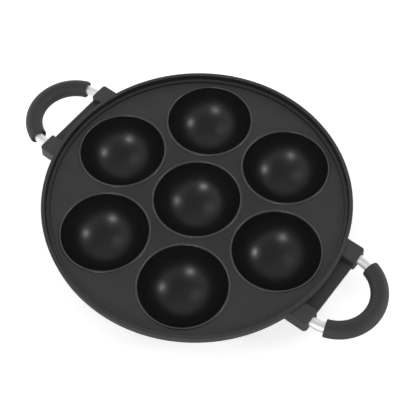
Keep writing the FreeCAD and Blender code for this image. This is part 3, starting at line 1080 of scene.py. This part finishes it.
@dataclass
class LoopHandle:
    """A bent steel rod with a moulded sleeve on its bend."""

    side: Side
    bend_centre: float = 124.4 * MM
    rod_height: float = ROD_HEIGHT
    loop_radius: float = LOOP_RADIUS
    rod_radius: float = 3.75 * MM
    rod_leg: float = 12.1 * MM
    rod_chamfer: float = 0.6 * MM
    grip_radius: float = 6.54 * MM
    grip_half_turn: float = math.radians(72.0)
    grip_bore: float = 3.9 * MM
    grip_round: float = 1.0 * MM
    mouth_flare: float = 1.3 * MM
    mouth_depth: float = 3.2 * MM
    faces_round: int = 64
    rings: int = 96
    round_steps: int = 8
    crease: float = 35.0

    @property
    def name(self) -> str:
        """The side as a word for piece names."""
        return self.side.name.lower()

    def even_run(self, radius: float, low: float, high: float) -> list[Point]:
        """Profile points at one radius, close enough together to bend smoothly."""
        return [(radius, low + (high - low) * step / self.rings) for step in range(self.rings + 1)]

    def bent(self, mesh: bpy.types.Mesh, finish: bpy.types.Material, name: str) -> bpy.types.Object:
        """Bend a straight piece round the loop and seat it at its end of the pan.

        Args:
            mesh: The piece, straight and upright about the origin.
            finish: The material that it wears.
            name: What it is, without its side.

        Returns:
            The bent piece, in its place.
        """
        mesh = loop_bend_tree().applied(welded(mesh), Bend_Radius=self.loop_radius, Finish=finish)
        turn = Matrix.Rotation(self.side.value, 4, "Z")
        mesh.transform(turn @ Matrix.Translation((self.bend_centre, 0, self.rod_height)))
        return new_piece(f"{self.name}_{name}", shaded(welded(mesh), self.crease))

    def rod(self, steel: bpy.types.Material) -> bpy.types.Object:
        """The bent rod with its chamfered ends.

        Args:
            steel: The material that it wears.

        Returns:
            The rod, in its place.
        """
        half = self.loop_radius * math.pi / 2 + self.rod_leg
        inner = self.rod_radius - self.rod_chamfer
        run = self.even_run(self.rod_radius, self.rod_chamfer - half, half - self.rod_chamfer)
        profile = [(0.0, -half), (inner, -half), *run, (inner, half), (0.0, half)]
        return self.bent(lathe("rod", profile, self.faces_round), steel, "loop_rod")

    def grip(self, plastic: bpy.types.Material) -> bpy.types.Object:
        """The sleeve, with rounded ends and flared mouths round the rod.

        Args:
            plastic: The material that it wears.

        Returns:
            The sleeve, in its place.
        """
        half = self.loop_radius * self.grip_half_turn
        shoulder = self.grip_radius - self.grip_round
        straight = half - self.grip_round
        lower = arc((shoulder, -straight), self.grip_round, -90, 0, self.round_steps)
        upper = arc((shoulder, straight), self.grip_round, 0, 90, self.round_steps)
        outside = self.even_run(self.grip_radius, -straight, straight)[1:-1]
        mouth = self.grip_bore + self.mouth_flare
        throat = half - self.mouth_depth
        bore = list(reversed(self.even_run(self.grip_bore, -throat, throat)))
        profile = [*lower, *outside, *upper, (mouth, half), *bore, (mouth, -half), lower[0]]
        return self.bent(lathe("grip", profile, self.faces_round), plastic, "grip_sleeve")


# ---------------------------------------------------------------- studio


@dataclass(frozen=True)
class Softbox:
    """An oval lamp that faces the pan."""

    name: str
    place: Triple
    width: float
    height: float
    power: float

    def build(self, target: Vector) -> None:
        """Hang the lamp.

        Args:
            target: The point that it faces.
        """
        lamp = bpy.data.lights.new(self.name, "AREA")
        lamp.shape = "ELLIPSE"
        lamp.size = self.width
        lamp.size_y = self.height
        lamp.energy = self.power
        piece = bpy.data.objects.new(self.name, lamp)
        piece.location = self.place
        piece.visible_camera = False
        piece.rotation_euler = (target - Vector(self.place)).to_track_quat("-Z", "Y").to_euler()
        bpy.context.scene.collection.objects.link(piece)


@dataclass(frozen=True)
class Studio:
    """A white surround, a pale floor, two small lamps beside the pan and two softboxes above."""

    lamps: tuple[Softbox, ...] = (
        Softbox("near_lamp", (0.57, -1.65, 0.97), width=0.46, height=0.20, power=5.9),
        Softbox("right_lamp", (2.25, 1.14, 1.62), width=0.75, height=0.28, power=11.0),
        Softbox("high_softbox", (-0.52, -0.35, 1.05), width=0.66, height=0.66, power=0.70),
        Softbox("back_softbox", (-0.35, 0.55, 1.05), width=1.3, height=1.0, power=0.5),
    )
    target: Triple = (0.0, 0.0, 0.02)
    # The surround's strength at the horizon and overhead, and the heights between which it fades.
    horizon: float = 1.5
    zenith: float = 0.46
    fade: tuple[float, float] = (0.05, 0.85)
    # Its dimmer side, the share of light left there, and how squarely a direction faces that
    # side where the dimming starts and where it ends.
    dim_side: Triple = (0.75, -0.66, 0.0)
    dim_share: float = 0.76
    dim_turn: tuple[float, float] = (0.2, 0.9)
    floor_radius: float = 5.0
    floor_edges: int = 64
    floor_colour: tuple[float, float, float, float] = (0.86, 0.86, 0.86, 1.0)
    floor_matte: float = 0.9
    floor_lift: float = 0.55
    # The floor under the pan isn't lifted in mirrored rays: the middle of that patch, and the
    # radii between which the lift comes in.
    shadow_spot: tuple[float, float] = (0.07, -0.06)
    contact: tuple[float, float] = (0.12, 0.17)

    def light_world(self) -> None:
        """A surround that is white at the horizon, greyer overhead and dimmer on one side."""
        world = bpy.data.worlds.new("surround")
        tree = ShaderTree(world, "OutputWorld")
        way = tree.node("TexCoord").outputs["Generated"]
        height = tree.node("SeparateXYZ", {"Vector": way}).outputs["Z"]
        glow = tree.spread(height, self.horizon, self.zenith, *self.fade, Course.SMOOTH)
        facing = tree.facing(way, self.dim_side)
        shade = tree.spread(facing, 1.0, self.dim_share, *self.dim_turn, Course.SMOOTH)
        strength = tree.math("MULTIPLY", glow, shade)
        back = tree.node("Background", {"Color": (1, 1, 1, 1), "Strength": strength})
        tree.tree.links.new(back.outputs[0], tree.output.inputs["Surface"])
        bpy.context.scene.world = world

    def lay_floor(self) -> None:
        """A pale matte floor that keeps the pan's shadow and shows as white round it."""
        mesh = bpy.data.meshes.new("floor")
        shape = bmesh.new()
        bmesh.ops.create_circle(shape, cap_ends=True, radius=self.floor_radius,
                                segments=self.floor_edges)
        shape.to_mesh(mesh)
        shape.free()
        tree = MaterialTree("pale_floor")
        rays = tree.node("LightPath").outputs
        spot = tree.place(scale=FLATTEN, shift=(-self.shadow_spot[0], -self.shadow_spot[1], 0))
        clear = tree.spread(tree.off_axis(spot), 0.0, 1.0, *self.contact)
        mirrored = tree.math("ADD", rays["Is Glossy Ray"], rays["Is Transmission Ray"])
        shown = tree.math("ADD", tree.math("MULTIPLY", mirrored, clear), rays["Is Camera Ray"])
        mesh.materials.append(tree.surface({
            "Base Color": self.floor_colour,
            "Roughness": self.floor_matte,
            "Specular IOR Level": 0.0,
            "Emission Color": (1, 1, 1, 1),
            "Emission Strength": tree.math("MULTIPLY", shown, self.floor_lift),
        }))
        new_piece("floor", mesh)

    def build(self) -> None:
        """Set up floor, surround, lamps and colour handling."""
        self.lay_floor()
        self.light_world()
        for lamp in self.lamps:
            lamp.build(Vector(self.target))
        bpy.context.scene.view_settings.view_transform = "Standard"


@dataclass(frozen=True)
class Viewpoint:
    """A camera close above the pan, looking down past its right front side."""

    place: Triple = (0.23351, -0.27843, 0.62367)
    azimuth: float = math.radians(38.707)
    elevation: float = math.radians(58.984)
    roll: float = math.radians(-1.385)
    lens: float = 80.35
    nearest: float = 0.02

    def build(self) -> None:
        """Place the camera and look through it."""
        level = math.cos(self.elevation)
        back = Vector((math.sin(self.azimuth) * level, -math.cos(self.azimuth) * level,
                       math.sin(self.elevation)))
        right = Vector((math.cos(self.azimuth), math.sin(self.azimuth), 0))
        turned = Matrix((right, back.cross(right), back)).transposed().to_4x4()
        camera = bpy.data.cameras.new("camera")
        camera.lens = self.lens
        camera.clip_start = self.nearest
        piece = bpy.data.objects.new("camera", camera)
        piece.matrix_world = Matrix.Translation(self.place) @ turned @ Matrix.Rotation(self.roll, 4, "Z")
        bpy.context.scene.collection.objects.link(piece)
        bpy.context.scene.camera = piece


# ---------------------------------------------------------------- assembly


def stand_for(piece: bpy.types.Object, node: str) -> None:
    """Show a piece in a node's place.

    Args:
        piece: The finished piece, at the origin.
        node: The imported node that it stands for.
    """
    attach(piece, BODY)
    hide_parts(node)
    low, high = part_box(node)
    corners = [Vector(corner) for corner in piece.bound_box]
    off = max((Vector(map(min, *corners)) - low).length, (Vector(map(max, *corners)) - high).length)
    log.info("%s: %d faces, box within %.2f mm of %s", piece.name, len(piece.data.polygons), off / MM, node)


def dress(node: bpy.types.Object, material: bpy.types.Material) -> None:
    """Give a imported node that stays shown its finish.

    Args:
        node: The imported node.
        material: The finish that it wears.
    """
    node.data.materials.clear()
    node.data.materials.append(material)
    log.info("%s: packed node, dressed in %s", node.name, material.name)


def main() -> None:
    """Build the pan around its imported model, and the studio that it stands in."""
    logging.basicConfig(level=logging.INFO, format="%(name)s: %(message)s")
    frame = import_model()

    casting = PanCasting().build({surface: coating.material() for surface, coating in COATINGS.items()})
    stand_for(casting, "pan_casting")
    steel, plastic = DrawnSteel().material(), MouldedGrip().material()
    for side in Side:
        handle = LoopHandle(side)
        stand_for(handle.rod(steel), f"{handle.name}_handle_rod")
        stand_for(handle.grip(plastic), f"{handle.name}_handle_grip")
    pin_steel = SpringSteel().material()
    for name, node in frame["nodes"].items():
        if name.endswith("_rod_pin"):
            dress(node, pin_steel)

    Studio().build()
    Viewpoint().build()


if __name__ == "__main__":
    main()
